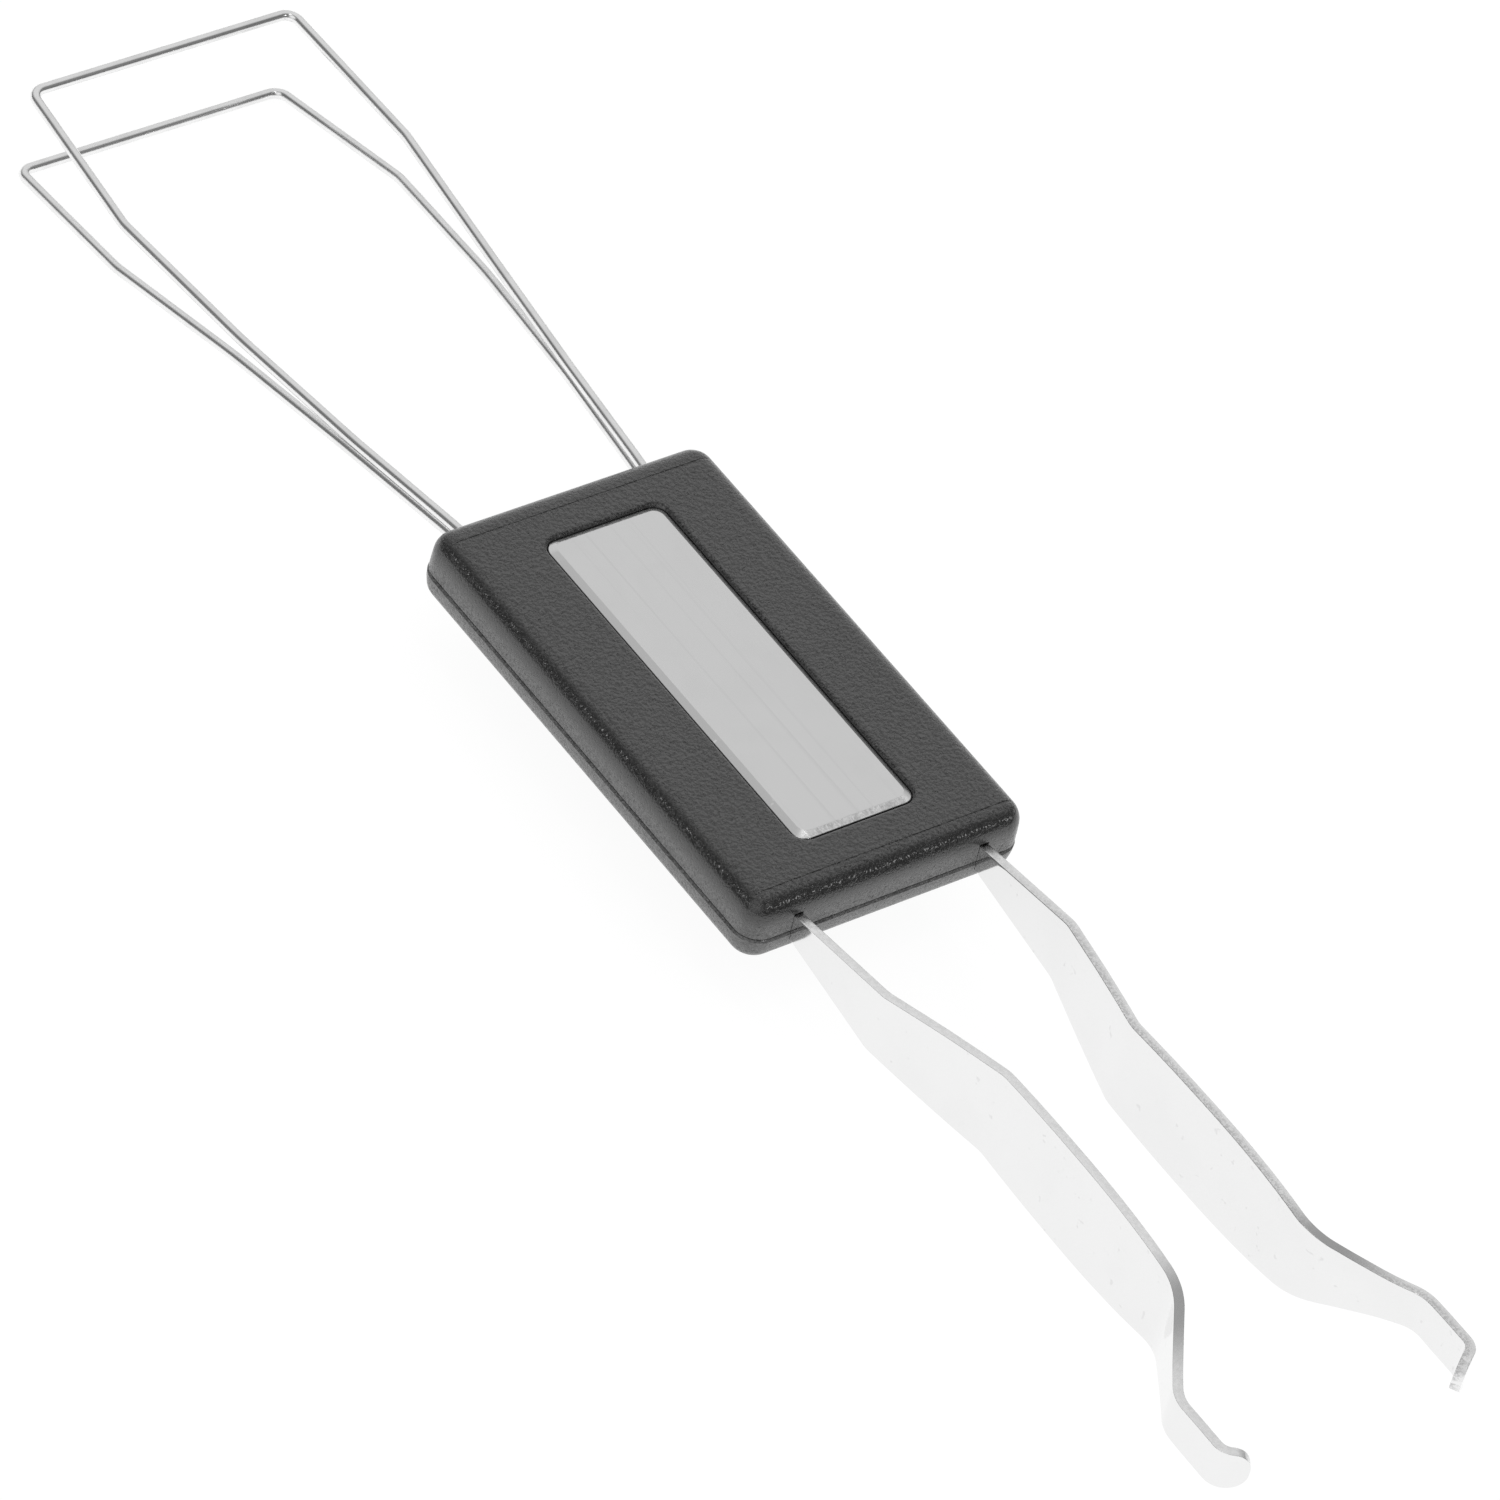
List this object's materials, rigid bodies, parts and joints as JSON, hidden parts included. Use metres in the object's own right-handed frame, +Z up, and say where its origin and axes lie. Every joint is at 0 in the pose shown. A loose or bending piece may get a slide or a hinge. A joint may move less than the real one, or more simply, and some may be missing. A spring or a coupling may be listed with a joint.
{
  "type": "keycap puller",
  "caption": "Double-ended hand tool: wire loops at one end lift keycaps, a hooked spring strip at the other pulls key switches, with a flat two-part handle between.",
  "frame": {"origin": "centre of the bounding box in X and Y, on the level of the lower loop's crossbar, which is the lowest point", "axes": "+Y along the tool from the hooks to the wire loops, +Z up through the inlay plate, +X across the handle"},
  "size_m": [0.0258, 0.1476, 0.0117],
  "materials": {
    "shell": "fine grained matte black",
    "plate": "satin, brushed lengthwise",
    "wire": "bright drawn wire",
    "strip": "bright faces with grey sheared edges"
  },
  "bodies": {
    "root": {"upper_shell": "shell", "lower_shell": "shell", "inlay_plate": "plate", "upper_loop": "wire", "lower_loop": "wire", "switch_spring": "strip"}
  },
  "joints": []
}
